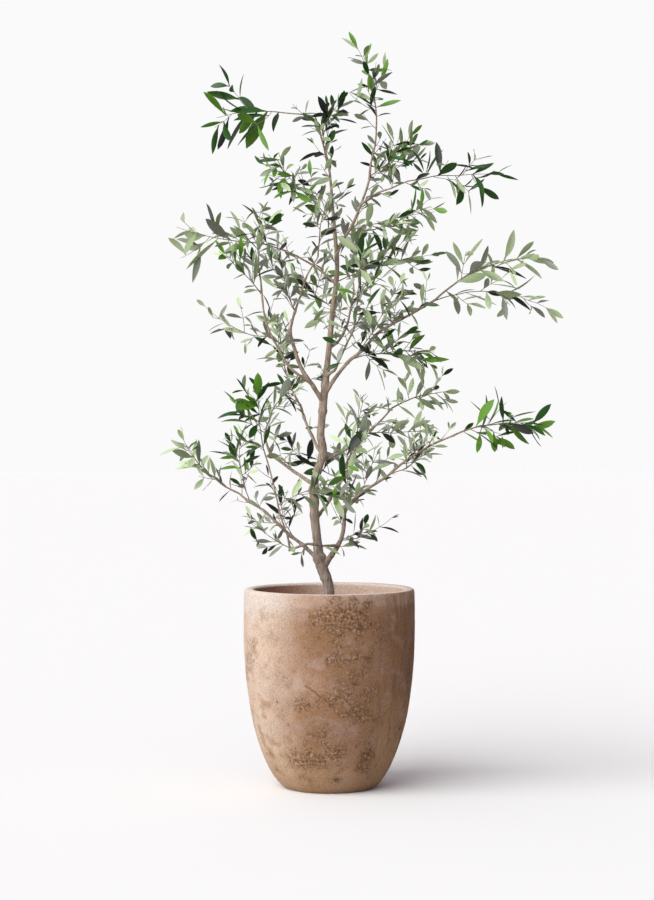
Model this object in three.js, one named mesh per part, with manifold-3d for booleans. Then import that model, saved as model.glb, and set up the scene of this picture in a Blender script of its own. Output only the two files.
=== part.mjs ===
// A young olive tree in a tall clay pot. Millimetres, +Z up, the origin at the middle of the pot's underside.
// +X runs to the tree's right as seen from its front, and -Y points out of the front.
import * as THREE from "three";
import { mergeVertices } from "three/addons/utils/BufferGeometryUtils.js";
import Module from "manifold-3d";

const gap = 0.3; // between pieces that touch

const pot = {
  height: 420,
  bellyHeight: 380, // where the wall is widest
  bellyRadius: 181.5,
  rimRadius: 180,
  footRadius: 93, // the flat that it stands on
  wall: 20,
  floor: 26,
  fullness: 2.6, // how soon the side turns upright
  roundness: 0.68, // how round the foot's turn is
  edge: 5.5, // the rounding of the lip's two edges
  edgeSteps: 2,
  sides: 36,
};

const soil = {
  depth: 42, // from the rim down to its top
  mound: 3, // how much higher it lies at the trunk
};

// The trunk, from its foot to the tip of its leader: height over the soil, lean across and away, radius.
const trunk = {
  bends: [
    [0, 1, 0, 15.5],
    [20, 0, 0, 11],
    [52, -3, 0, 11.5],
    [92, -18, -1, 12.2],
    [135, -25, -2, 9.8],
    [262, -32, -2, 8.8],
    [330, -13, 2, 8.5],
    [365, -18, 4, 8.3],
    [450, -11, 6, 8.4],
    [490, -7, 7, 6.6],
    [610, 5, 8, 5.6],
    [722, 16, 6, 4.9],
    [820, 9, 2, 3.6],
    [930, -1, -2, 2.5],
    [1010, -21, -3, 2],
    [1042, -31, -3, 1.6],
  ],
  sides: 10,
  steps: 18,
};

// Each limb leaves its parent at a height over the soil on the trunk, or at a share of a limb's length.
// reach runs from its foot to its tip and bow is how far its middle stands off that line:
// across, away from the front, and up. foot and tip are radii.
const limbs = {
  low_right: { on: "trunk", at: 86, reach: [50, -45, 132], bow: [14, 0, -6], foot: 6.4, tip: 3.8 },
  low_right_arm: { on: "low_right", at: 0.97, reach: [225, -46, 152], bow: [-10, -10, 4], foot: 3.4, tip: 2.1 },
  crossing: { on: "low_right", at: 0.4, reach: [-101, -67, -3], bow: [5, -11, 8], foot: 2.9, tip: 2.4 },
  crossing_up: { on: "crossing", at: 0.97, reach: [-44, -11, 172], bow: [1, -2, -12], foot: 2.4, tip: 1.7 },
  low_left: { on: "trunk", at: 98, reach: [-178, 24, 146], bow: [-8, 5, 14], foot: 4.4, tip: 2.2 },
  low_back: { on: "trunk", at: 182, reach: [84, 215, 158], bow: [0, 15, -14], foot: 4, tip: 2 },
  mid_left: { on: "trunk", at: 262, reach: [-112, 100, 100], bow: [-10, 5, -9], foot: 4.2, tip: 2.2 },
  mid_back: { on: "trunk", at: 322, reach: [-80, 225, 178], bow: [-5, 18, 3], foot: 3.8, tip: 2 },
  mid_right: { on: "trunk", at: 312, reach: [150, 65, 112], bow: [10, 5, -10], foot: 3.2, tip: 1.9 },
  upper_left: { on: "trunk", at: 437, reach: [-72, -40, 150], bow: [-12, -5, -5], foot: 5, tip: 3.6 },
  outer_left: { on: "upper_left", at: 0.28, reach: [-108, -4, 213], bow: [-14, -20, -36], foot: 3.4, tip: 2 },
  inner_left: { on: "upper_left", at: 0.97, reach: [58, -62, 150], bow: [-7, -12, 0], foot: 3, tip: 1.8 },
  upper_right: { on: "trunk", at: 450, reach: [236, -28, 197], bow: [-20, -10, 16], foot: 4.6, tip: 2.4 },
  front: { on: "trunk", at: 492, reach: [60, -205, 112], bow: [8, -5, -8], foot: 3.6, tip: 1.8 },
  back: { on: "trunk", at: 552, reach: [54, 212, 168], bow: [18, 12, -20], foot: 3.6, tip: 1.8 },
  far_left: { on: "trunk", at: 687, reach: [-165, 32, 90], bow: [6, 2, 16], foot: 2.7, tip: 1.6 },
  right_leader: { on: "trunk", at: 752, reach: [85, 14, 272], bow: [18, 2, -10], foot: 3.7, tip: 1.8 },
  right_arm_top: { on: "right_leader", at: 0.4, reach: [98, -28, 44], bow: [0, -6, 6], foot: 2.3, tip: 1.5 },
  top_left: { on: "trunk", at: 1040, reach: [-62, 6, 9], bow: [0, 1, -1], foot: 1.6, tip: 1.4 },
};
const limbSides = 7;
const limbSteps = 5;

// Each mass of leaves lies round a shoot given as a limb is. thick and tall are the mass's half sizes across
// the shoot, level and upright.
const masses = {
  arm_end: { on: "low_right_arm", at: 1, reach: [212, -10, 25], bow: [0, -5, 16], thick: 34, tall: 72 },
  arm_middle: { on: "low_right_arm", at: 0.45, reach: [105, -45, 85], bow: [12, 0, -10], thick: 34, tall: 52 },
  low_right: { on: "low_right", at: 0.92, reach: [75, 20, 160], bow: [12, 0, -12], thick: 38, tall: 50 },
  low_spur: { on: "low_right", at: 0.5, reach: [125, -35, 56], bow: [0, 0, -14], thick: 28, tall: 42 },
  low_front: { on: "low_right", at: 0.8, reach: [0, -215, 240], bow: [5, -30, -25], thick: 50, tall: 50 },
  mid_right: { on: "mid_right", at: 1, reach: [155, 65, 42], bow: [0, 0, 12], thick: 32, tall: 48 },
  mid_right_low: { on: "mid_right", at: 0.6, reach: [170, 70, 5], bow: [0, 8, 0], thick: 30, tall: 40 },
  low_left: { on: "low_left", at: 1, reach: [-140, 20, 140], bow: [-14, 0, -14], thick: 34, tall: 60 },
  low_left_up: { on: "low_left", at: 0.8, reach: [-30, 45, 170], bow: [-10, 0, 0], thick: 36, tall: 46 },
  low_inner: { on: "low_left", at: 0.28, reach: [-35, 55, 105], bow: [-8, 0, 0], thick: 32, tall: 34 },
  crossing: { on: "crossing", at: 0.92, reach: [-104, -30, 78], bow: [-4, 0, -8], thick: 30, tall: 40 },
  crossing_up: { on: "crossing_up", at: 1, reach: [-22, 18, 215], bow: [-12, -5, 0], thick: 44, tall: 56 },
  crossing_in: { on: "crossing_up", at: 0.62, reach: [165, -40, 44], bow: [0, -12, 16], thick: 30, tall: 38 },
  mid_left: { on: "mid_left", at: 1, reach: [80, 65, 135], bow: [-14, 0, 4], thick: 46, tall: 54 },
  low_back: { on: "low_back", at: 1, reach: [24, 115, 125], bow: [0, 8, -8], thick: 54, tall: 50 },
  low_back_side: { on: "low_back", at: 0.62, reach: [-140, 105, 85], bow: [0, 10, -10], thick: 46, tall: 46 },
  mid_back: { on: "mid_back", at: 1, reach: [-20, 105, 150], bow: [-5, 8, -8], thick: 56, tall: 52 },
  outer_left_low: { on: "outer_left", at: 0.62, reach: [-160, 0, 72], bow: [0, 0, -20], thick: 26, tall: 38 },
  outer_left: { on: "outer_left", at: 1, reach: [2, 40, 182], bow: [-10, 0, 0], thick: 42, tall: 50 },
  outer_left_side: { on: "outer_left", at: 0.92, reach: [-112, -45, 112], bow: [0, 0, 6], thick: 28, tall: 42 },
  inner_left: { on: "inner_left", at: 1, reach: [34, -50, 165], bow: [-8, 0, 0], thick: 46, tall: 50 },
  inner_left_low: { on: "inner_left", at: 0.3, reach: [-40, -110, 150], bow: [-5, -8, -5], thick: 50, tall: 52 },
  fork_end: { on: "upper_right", at: 1, reach: [268, -48, 92], bow: [-4, 0, 36], thick: 32, tall: 44 },
  low_end: { on: "upper_right", at: 0.97, reach: [286, 50, -12], bow: [0, 8, 34], thick: 30, tall: 46 },
  upper_right: { on: "upper_right", at: 0.36, reach: [105, -55, 172], bow: [0, 0, -8], thick: 46, tall: 54 },
  upper_right_under: { on: "upper_right", at: 0.3, reach: [208, 30, 20], bow: [0, 10, 10], thick: 36, tall: 54 },
  front: { on: "front", at: 1, reach: [15, -120, 145], bow: [0, -5, -10], thick: 60, tall: 56 },
  back: { on: "back", at: 1, reach: [4, 118, 150], bow: [5, 8, -8], thick: 60, tall: 56 },
  back_side: { on: "back", at: 0.55, reach: [-140, 145, 130], bow: [-5, 5, -10], thick: 52, tall: 50 },
  far_left: { on: "far_left", at: 1, reach: [-215, 20, 42], bow: [0, 0, -6], thick: 30, tall: 56 },
  right_back: { on: "trunk", at: 690, reach: [230, 150, 75], bow: [0, 10, 12], thick: 50, tall: 52 },
  right_leader: { on: "right_leader", at: 1, reach: [-50, 6, 195], bow: [14, 0, 0], thick: 42, tall: 48 },
  leader_side: { on: "right_leader", at: 0.62, reach: [105, 45, 108], bow: [6, 0, -8], thick: 42, tall: 48 },
  arm_top: { on: "right_arm_top", at: 1, reach: [226, -15, 18], bow: [0, 0, 6], thick: 30, tall: 56 },
  arm_top_low: { on: "right_leader", at: 0.2, reach: [210, -90, 45], bow: [0, -8, 0], thick: 40, tall: 46 },
  trunk_top: { on: "trunk", at: 930, reach: [30, -40, 165], bow: [-26, -5, 0], thick: 40, tall: 48 },
  top_left: { on: "top_left", at: 1, reach: [-185, 8, -12], bow: [0, 0, 10], thick: 32, tall: 84 },
  top_front: { on: "trunk", at: 815, reach: [-150, -165, 140], bow: [-8, -12, 6], thick: 48, tall: 50 },
};
const massSides = 8;
const massRings = 6;
const unevenness = 0.16; // of a mass's half size

const colours = { clay: 0xb59a86, earth: 0x5a4636, bark: 0x9c8b7c, leaf: 0x6f8263 };

const wasm = await Module();
wasm.setup();

function solidOf(geometry) {
  geometry.deleteAttribute("normal");
  geometry.deleteAttribute("uv");
  const merged = mergeVertices(geometry, 1e-4);
  const mesh = new wasm.Mesh({
    numProp: 3,
    vertProperties: merged.attributes.position.array,
    triVerts: new Uint32Array(merged.index.array),
  });
  return new wasm.Manifold(mesh);
}

function geometryOf(solid) {
  const { vertProperties, triVerts } = solid.getMesh();
  const geometry = new THREE.BufferGeometry();
  geometry.setAttribute("position", new THREE.BufferAttribute(vertProperties, 3));
  geometry.setIndex(new THREE.BufferAttribute(triVerts, 1));
  const faceted = geometry.toNonIndexed();
  faceted.computeVertexNormals();
  return faceted;
}

// A cut can leave crumbs, so only the largest body is kept.
function largestBody(solid) {
  return solid.decompose().reduce((a, b) => (b.volume() > a.volume() ? b : a));
}

// The pot and its soil.

// The outside's radius at a height: a rounded foot up to the belly, then a slight draw-in to the rim.
function outerRadius(height) {
  if (height >= pot.bellyHeight) {
    const share = (height - pot.bellyHeight) / (pot.height - pot.bellyHeight);
    return pot.bellyRadius + (pot.rimRadius - pot.bellyRadius) * share ** 2;
  }
  const below = 1 - height / pot.bellyHeight;
  const swell = (1 - below ** pot.fullness) ** pot.roundness;
  return pot.footRadius + (pot.bellyRadius - pot.footRadius) * swell;
}

const innerHeights = [60, 150, 300]; // where the wall's inside and the soil's side change slope
const innerRadius = (height) => outerRadius(height) - pot.wall;

function potGeometry() {
  const outline = [new THREE.Vector2(0, 0)];
  for (const height of [0, 5, 17, 42, 80, 135, 220, 300, pot.bellyHeight]) {
    outline.push(new THREE.Vector2(outerRadius(height), height));
  }
  // The lip is flat, with a rounded edge on each side.
  for (let i = 0; i <= 2 * pot.edgeSteps + 1; i += 1) {
    const outside = i <= pot.edgeSteps;
    const turn = (Math.PI / 2) * ((outside ? i : i - 1) / pot.edgeSteps);
    const middle = outside ? pot.rimRadius - pot.edge : pot.rimRadius - pot.wall + pot.edge;
    const across = middle + pot.edge * Math.cos(turn);
    outline.push(new THREE.Vector2(across, pot.height - pot.edge * (1 - Math.sin(turn))));
  }
  for (const height of innerHeights.toReversed()) {
    outline.push(new THREE.Vector2(innerRadius(height), height));
  }
  outline.push(new THREE.Vector2(innerRadius(pot.floor) - 6, pot.floor));
  outline.push(new THREE.Vector2(0, pot.floor));
  return new THREE.LatheGeometry(outline, pot.sides);
}

const soilTop = pot.height - soil.depth;

function soilGeometry() {
  const outline = [new THREE.Vector2(0, pot.floor + gap)];
  outline.push(new THREE.Vector2(innerRadius(pot.floor) - 8, pot.floor + gap));
  for (const height of innerHeights) {
    outline.push(new THREE.Vector2(innerRadius(height) - 2 * gap, height));
  }
  const edge = soilTop - soil.mound;
  outline.push(new THREE.Vector2(innerRadius(innerHeights.at(-1)) - 1, edge));
  outline.push(new THREE.Vector2(50, soilTop));
  outline.push(new THREE.Vector2(0, soilTop));
  return new THREE.LatheGeometry(outline, pot.sides);
}

// A lathe stands on the Y axis, and the part on Z.
const upright = (geometry) => geometry.rotateX(Math.PI / 2);

// The trunk, limbs and masses.

const lines = {}; // each line's curve, by its limb's name

function trunkLine() {
  const points = trunk.bends.map(([over, across, away]) => new THREE.Vector3(across, away, soilTop + gap + over));
  return new THREE.CatmullRomCurve3(points, false, "centripetal");
}

function trunkRadius(height) {
  const over = THREE.MathUtils.clamp(height - soilTop - gap, 0.01, trunk.bends.at(-1)[0]);
  const next = trunk.bends.findIndex(([bend]) => bend >= over);
  const [low, , , wide] = trunk.bends[next - 1];
  const [high, , , narrow] = trunk.bends[next];
  return THREE.MathUtils.mapLinear(over, low, high, wide, narrow);
}

// The point where a limb's or a shoot's line starts.
function footOf({ on, at }) {
  if (on !== "trunk") return lines[on].getPoint(at);
  const wanted = soilTop + gap + at;
  let [low, high] = [0, 1];
  for (let i = 0; i < 24; i += 1) {
    const middle = (low + high) / 2;
    if (lines.trunk.getPoint(middle).z < wanted) low = middle;
    else high = middle;
  }
  return lines.trunk.getPoint(low);
}

function lineOf(plan) {
  const foot = footOf(plan);
  const tip = foot.clone().add(new THREE.Vector3(...plan.reach));
  const pull = foot.clone().add(tip).multiplyScalar(0.5).addScaledVector(new THREE.Vector3(...plan.bow), 2);
  return new THREE.QuadraticBezierCurve3(foot, pull, tip);
}

// Lays a geometry that stands on the Y axis, from -1/2 to 1/2, along a line. Its X turns level and its Z upright.
function layAlong(geometry, line, from = 0, to = 1) {
  const run = line.getPoint(1).sub(line.getPoint(0)).normalize();
  const reference = Math.abs(run.z) > 0.85 ? new THREE.Vector3(0, 1, 0) : new THREE.Vector3(0, 0, 1);
  const places = geometry.attributes.position;
  for (let i = 0; i < places.count; i += 1) {
    const share = from + (to - from) * (places.getY(i) + 0.5);
    const along = line.getTangent(share);
    const level = along.clone().cross(reference).normalize();
    const rise = level.clone().cross(along);
    const place = line.getPoint(share);
    place.addScaledVector(level, places.getX(i)).addScaledVector(rise, places.getZ(i));
    places.setXYZ(i, place.x, place.y, place.z);
  }
  return geometry;
}

function trunkSolid(extra) {
  const { sides, steps } = trunk;
  const geometry = new THREE.CylinderGeometry(1, 1, 1, sides, steps);
  const places = geometry.attributes.position;
  for (let i = 0; i < places.count; i += 1) {
    const radius = trunkRadius(lines.trunk.getPoint(places.getY(i) + 0.5).z) + extra;
    places.setX(i, places.getX(i) * radius);
    places.setZ(i, places.getZ(i) * radius);
  }
  // The lower end is trimmed level, as the first stretch of the line leans a little.
  const solid = solidOf(layAlong(geometry, lines.trunk));
  return solid.trimByPlane([0, 0, 1], soilTop + gap);
}

function limbSolid({ foot, tip }, line, extra) {
  const geometry = new THREE.CylinderGeometry(tip + extra, foot + extra, 1, limbSides, limbSteps);
  return solidOf(layAlong(geometry, line));
}

// One uneven pad round a shoot. Its bumps follow from its place in the list, so no two are alike.
function massSolid({ thick, tall }, line, number, extra) {
  const geometry = new THREE.SphereGeometry(1, massSides, massRings);
  const places = geometry.attributes.position;
  for (let i = 0; i < places.count; i += 1) {
    const [x, y, z] = [places.getX(i), places.getY(i), places.getZ(i)];
    const turn = Math.atan2(z, x);
    const bumps = Math.sin(2 * turn + 1.7 * number + 3 * y) + 0.7 * Math.sin(3 * turn - 2.3 * number - 5 * y);
    const size = 1 + unevenness * bumps;
    places.setXYZ(i, x * (thick * size + extra), y / 2, z * (tall * size + extra));
  }
  return solidOf(layAlong(geometry, line));
}

const tree = {}; // each piece's solid
const grown = {}; // and the same, larger by the gap

lines.trunk = trunkLine();
tree.trunk = trunkSolid(0);
grown.trunk = trunkSolid(gap);

for (const [name, plan] of Object.entries(limbs)) {
  lines[name] = lineOf(plan);
  let solid = limbSolid(plan, lines[name], 0);
  for (const other of Object.values(grown)) solid = solid.subtract(other);
  tree[name] = largestBody(solid);
  grown[name] = limbSolid(plan, lines[name], gap);
}

const foliage = {};
const grownFoliage = [];
Object.entries(masses).forEach(([name, plan], number) => {
  const line = lineOf(plan);
  let solid = massSolid(plan, line, number, 0);
  for (const other of [...Object.values(grown), ...grownFoliage]) solid = solid.subtract(other);
  foliage[name] = largestBody(solid);
  grownFoliage.push(massSolid(plan, line, number, gap));
});

// The whole plant.

const plant = new THREE.Group();

function add(name, geometry, color, roughness) {
  const material = new THREE.MeshStandardMaterial({ color, roughness, metalness: 0 });
  const mesh = new THREE.Mesh(geometry, material);
  mesh.name = name;
  plant.add(mesh);
}

add("pot", upright(potGeometry()), colours.clay, 0.85);
add("soil", upright(soilGeometry()), colours.earth, 1);
for (const [name, solid] of Object.entries(tree)) {
  add(name === "trunk" ? name : `bough_${name}`, geometryOf(solid), colours.bark, 0.8);
}
for (const [name, solid] of Object.entries(foliage)) {
  add(`foliage_${name}`, geometryOf(solid), colours.leaf, 0.6);
}

export default plant;
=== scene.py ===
import math
import random

import bpy
import numpy as np
from mathutils import Matrix, Vector, kdtree, noise


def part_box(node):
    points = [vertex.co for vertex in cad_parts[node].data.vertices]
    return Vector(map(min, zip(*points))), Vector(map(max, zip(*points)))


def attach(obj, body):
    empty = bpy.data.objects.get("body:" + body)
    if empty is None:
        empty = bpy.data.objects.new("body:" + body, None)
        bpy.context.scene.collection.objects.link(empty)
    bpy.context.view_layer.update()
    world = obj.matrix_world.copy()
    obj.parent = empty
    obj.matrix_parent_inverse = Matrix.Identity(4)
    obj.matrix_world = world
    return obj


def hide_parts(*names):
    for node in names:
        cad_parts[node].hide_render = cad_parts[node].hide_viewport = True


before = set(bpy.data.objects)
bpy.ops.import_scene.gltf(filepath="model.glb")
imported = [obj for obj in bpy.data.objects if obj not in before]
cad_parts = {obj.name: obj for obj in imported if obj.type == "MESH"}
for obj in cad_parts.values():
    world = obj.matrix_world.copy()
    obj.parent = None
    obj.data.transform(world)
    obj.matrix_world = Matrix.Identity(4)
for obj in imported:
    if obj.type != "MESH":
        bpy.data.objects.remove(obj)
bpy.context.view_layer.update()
bpy.ops.object.select_all(action="DESELECT")

mm = 0.001
noise.seed_set(5)        # noise_vector gives other values in each run without a seed
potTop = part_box("pot")[1].z
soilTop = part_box("soil")[1].z
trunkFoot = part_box("trunk")[0].z
softUnder = math.radians(50)     # leaves and twigs are shaded smooth over edges that turn less than this


# small helpers

def toLinear(hexColour):
    # an sRGB hex value as the linear colour that the shaders want
    parts = [int(hexColour[i:i + 2], 16) / 255 for i in (1, 3, 5)]
    return [c / 12.92 if c <= 0.04045 else ((c + 0.055) / 1.055) ** 2.4 for c in parts] + [1.0]


def addNode(tree, kind, settings=None, links=None):
    # settings: an input's name or number, a property, or a ramp's stops
    # links: an input's name or number, and the output that feeds it
    node = tree.nodes.new(kind)
    for key, value in (settings or {}).items():
        if key == "stops":
            for i, (place, colour) in enumerate(sorted(value.items())):
                element = node.color_ramp.elements[i] if i < 2 else node.color_ramp.elements.new(place)
                element.position = place
                element.color = toLinear(colour)
        elif isinstance(key, int) or key in node.inputs.keys():
            node.inputs[key].default_value = value
        else:
            setattr(node, key, value)
    for key, output in (links or {}).items():
        tree.links.new(output, node.inputs[key])
    return node


def newMaterial(name, **settings):
    material = bpy.data.materials.new(name)
    material.use_nodes = True
    shader = material.node_tree.nodes["Principled BSDF"]
    for key, value in settings.items():
        shader.inputs[key.replace("_", " ")].default_value = value
    return material, material.node_tree, shader


def newPiece(name, vertices, faces, materials, slots=None, edges=()):
    mesh = bpy.data.meshes.new(name)
    mesh.from_pydata(vertices, edges, faces)
    for material in materials:
        mesh.materials.append(material)
    if slots is not None:
        mesh.polygons.foreach_set("material_index", slots)
    mesh.update()
    piece = bpy.data.objects.new(name, mesh)
    bpy.context.scene.collection.objects.link(piece)
    return piece


def makeActive(piece):
    bpy.ops.object.select_all(action="DESELECT")
    piece.select_set(True)
    bpy.context.view_layer.objects.active = piece


def applyModifier(piece, kind, **settings):
    makeActive(piece)
    modifier = piece.modifiers.new(kind.title(), kind)
    for key, value in settings.items():
        setattr(modifier, key, value)
    bpy.ops.object.modifier_apply(modifier=modifier.name)


def join(piece, slot, *nodes):
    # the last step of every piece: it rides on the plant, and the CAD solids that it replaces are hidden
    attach(piece, "root")
    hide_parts(*nodes)


# camera, light and floor

studio = {
    "cameraDistance": 4.5,
    "cameraHeight": 0.77,
    "aim": (-0.005, 0.0, 0.713),
    "lens": 85.0,
    "sunTurn": 43.0,       # degrees that the shadow runs back from straight right
    "sunRise": 29.0,       # degrees over the floor
    "sunSoftness": 70.0,
    "sunStrength": 3.85,
    "sunTint": (0.985, 1.02, 0.99),
    "skyLeft": 0.84,       # the sky is brighter on the window's side
    "skyRight": 0.3,
    "skySpread": 0.9,      # how much of the sky that change takes up
    "skyTint": (1.0, 0.93, 0.985),
    "backdrop": "#fafafa",
    "floorSize": 60,       # metres
    "floorColour": "#ececec",
    "floorBounce": "#b8b4b2",  # what the floor throws back at the plant
}


def makeStudio():
    scene = bpy.context.scene
    scene.view_settings.view_transform = "Standard"
    data = bpy.data.cameras.new("camera")
    data.lens = studio["lens"]
    camera = bpy.data.objects.new("camera", data)
    camera.location = (studio["aim"][0], -studio["cameraDistance"], studio["cameraHeight"])
    look = Vector(studio["aim"]) - camera.location
    camera.rotation_euler = look.to_track_quat("-Z", "Y").to_euler()
    scene.collection.objects.link(camera)
    scene.camera = camera

    turn, rise = math.radians(studio["sunTurn"]), math.radians(studio["sunRise"])
    travel = Vector((math.cos(turn) * math.cos(rise), math.sin(turn) * math.cos(rise), -math.sin(rise)))
    lamp = bpy.data.lights.new("softKey", "SUN")
    lamp.energy = studio["sunStrength"]
    lamp.color = studio["sunTint"]
    lamp.angle = math.radians(studio["sunSoftness"])
    sun = bpy.data.objects.new("softKey", lamp)
    sun.rotation_euler = travel.to_track_quat("-Z", "Y").to_euler()
    scene.collection.objects.link(sun)

    # the sky lights the plant softly, and what the camera sees of it is the paper backdrop
    world = bpy.data.worlds.new("studio")
    world.use_nodes = True
    tree = world.node_tree
    tree.nodes.clear()
    way = addNode(tree, "ShaderNodeTexCoord").outputs["Generated"]
    across = addNode(tree, "ShaderNodeSeparateXYZ", links={0: way}).outputs["X"]
    spread = studio["skySpread"]
    strength = addNode(tree, "ShaderNodeMapRange", {
        "interpolation_type": "SMOOTHSTEP", "From Min": -spread, "From Max": spread,
        "To Min": studio["skyLeft"], "To Max": studio["skyRight"]}, {"Value": across})
    fill = addNode(tree, "ShaderNodeBackground", {"Color": (*studio["skyTint"], 1)}, {
        "Strength": strength.outputs[0]})
    paper = addNode(tree, "ShaderNodeBackground", {"Color": toLinear(studio["backdrop"]), "Strength": 1.0})
    path = addNode(tree, "ShaderNodeLightPath")
    mix = addNode(tree, "ShaderNodeMixShader", links={
        0: path.outputs["Is Camera Ray"], 1: fill.outputs[0], 2: paper.outputs[0]})
    addNode(tree, "ShaderNodeOutputWorld", links={"Surface": mix.outputs[0]})
    scene.world = world

    bpy.ops.mesh.primitive_plane_add(size=studio["floorSize"])
    floor = bpy.context.object
    floor.name = "floor"
    material, tree, shader = newMaterial("paintedStudioFloor", Roughness=1.0, Specular_IOR_Level=0.0)
    path = addNode(tree, "ShaderNodeLightPath")
    colour = addNode(tree, "ShaderNodeMix", {
        "data_type": "RGBA", 6: toLinear(studio["floorBounce"]), 7: toLinear(studio["floorColour"])}, {
        0: path.outputs["Is Camera Ray"]})
    tree.links.new(colour.outputs[2], shader.inputs["Base Color"])
    floor.data.materials.append(material)
    print("studio ready")


makeStudio()


# the pot: aged, limewashed terracotta

pot = {
    "bellyHeight": 380,
    "bellyRadius": 181.5,
    "rimRadius": 180,
    "footRadius": 93,
    "wall": 20,
    "floor": 26,
    "fullness": 2.6,
    "roundness": 0.68,
    "edge": 5.5,           # the rounding of the lip's two edges
    "edgeTurn": 18,        # degrees from one row of an edge to the next
    "row": 2.7,            # height of one row of faces
    "rowCrowding": 1.3,    # rows crowd together at the foot, where the side turns quickest
    "insideRow": 12,
    "footRings": 8,
    "floorRings": 5,
    "steps": 410,          # faces round the pot
    "skin": 3,             # a place this far under the outline still counts as outside
    "patch": 30,           # sizes of the worn patches' broad shape, of their ragged edge and of one crumb
    "ragged": 9,
    "crumb": 4.4,
    "wornReach": 1.15,     # how strong wear is at a spot's middle, and how fast it fades from there
    "wornFade": 0.8,
    "stainReach": 1.35,
    "stainFade": 0.6,
    "pitDepth": 1.0,
    "flakeHeight": 0.4,
    "crackDepth": 1.3,
    "crackWidth": 2.2,
    "unevenness": 0.9,     # how far a hand-finished wall wanders
    "ripple": 0.2,         # and how deep its small dents are
}

# spots where the skin has crumbled: degrees round from the front, height, half sizes across and up, strength
wornSpots = [
    (10, 365, 46, 34, 1.0), (36, 330, 56, 60, 0.4), (14, 140, 70, 60, 0.35), (-12, 364, 22, 36, 0.55),
    (23, 292, 24, 10, 1.0), (5, 290, 14, 12, 0.9),
    (-40, 322, 34, 14, 0.45), (-34, 238, 42, 26, 0.4), (17, 210, 40, 46, 0.75), (-37, 182, 26, 26, 0.42),
    (-20, 190, 12, 11, 0.9), (-9, 76, 52, 26, 0.9), (31, 77, 22, 26, 0.9), (-28, 140, 30, 18, 0.38),
    (78, 300, 40, 60, 0.7), (104, 150, 60, 40, 0.9), (140, 330, 50, 30, 0.8), (172, 220, 44, 60, 0.8),
    (205, 90, 60, 30, 0.8), (233, 345, 46, 34, 0.9), (258, 190, 40, 50, 0.7), (289, 262, 26, 40, 0.6),
]

# the one fine crack, as places across the front and heights
crackLine = [(-50, 232), (-42, 230), (-36, 224), (-29, 221), (-22, 213), (-15, 209)]


def outerRadius(height):
    top = potTop / mm
    if height >= pot["bellyHeight"]:
        share = (height - pot["bellyHeight"]) / (top - pot["bellyHeight"])
        return pot["bellyRadius"] + (pot["rimRadius"] - pot["bellyRadius"]) * share ** 2
    below = 1 - height / pot["bellyHeight"]
    swell = (1 - below ** pot["fullness"]) ** pot["roundness"]
    return pot["footRadius"] + (pot["bellyRadius"] - pot["footRadius"]) * swell


def potOutline():
    # half the pot's section, from the middle of its foot over the lip to the middle of its floor
    top = potTop / mm
    edge, wall, floor = pot["edge"], pot["wall"], pot["floor"]
    outline = [(pot["footRadius"] * i / pot["footRings"], 0) for i in range(pot["footRings"] + 1)]
    rows = round(top / pot["row"])
    for i in range(1, rows):
        height = (top - edge) * (i / rows) ** pot["rowCrowding"]
        outline.append((outerRadius(height), height))
    for middle, first in ((pot["rimRadius"] - edge, 0), (pot["rimRadius"] - wall + edge, 90)):
        for turn in range(first, first + 91, pot["edgeTurn"]):
            lean = math.radians(turn)
            outline.append((middle + edge * math.cos(lean), top - edge * (1 - math.sin(lean))))
    inside = range(int(top) - 10, floor + 6, -pot["insideRow"])
    outline += [(outerRadius(height) - wall, height) for height in inside]
    rings = pot["floorRings"]
    outline += [((outerRadius(floor) - wall) * i / rings, floor) for i in range(rings - 1, -1, -1)]
    return outline


def fbm(point, size, octaves):
    # cloudy noise whose broadest lumps are size millimetres across, finer with each octave
    return noise.fractal(point / (size * mm), 0.9, 2.1, octaves)


def clamp(value):
    return min(max(value, 0), 1)


def wearAt(place):
    # how crumbled the skin is, from the named spots with ragged edges and a few small strays
    turn = math.degrees(math.atan2(place.x, -place.y))
    height = place.z / mm
    broad = fbm(place + Vector((0.3, 0, 0)), pot["patch"], 3) * 1.1
    ragged = broad + fbm(place, pot["ragged"], 2) * 0.7
    worn, stained = 0, 0
    for spot, level, across, tall, strength in wornSpots:
        apart = (turn - spot + 180) % 360 - 180
        aside = apart / 57.3 * outerRadius(height) / across     # 57.3 degrees make a radian
        away = math.hypot(aside, (height - level) / tall)
        worn = max(worn, strength * clamp(pot["wornReach"] - away * pot["wornFade"] + ragged))
        stained = max(stained, strength * clamp(pot["stainReach"] - away * pot["stainFade"] + broad * 0.8))
    stray = clamp((fbm(place + Vector((0, 0.4, 0)), 24, 3) - 0.5) * 4) * 0.7
    return max(worn, stray), stained


def crackAt(place):
    # how deep the crack is here, from nothing to one
    x, z = place.x / mm, place.z / mm
    if place.y > 0:
        return 0
    nearest = math.inf
    for (x0, z0), (x1, z1) in zip(crackLine, crackLine[1:]):
        share = clamp(((x - x0) * (x1 - x0) + (z - z0) * (z1 - z0)) / ((x1 - x0) ** 2 + (z1 - z0) ** 2))
        nearest = min(nearest, math.hypot(x - x0 - (x1 - x0) * share, z - z0 - (z1 - z0) * share))
    return clamp(1.25 - nearest / pot["crackWidth"])


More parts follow.
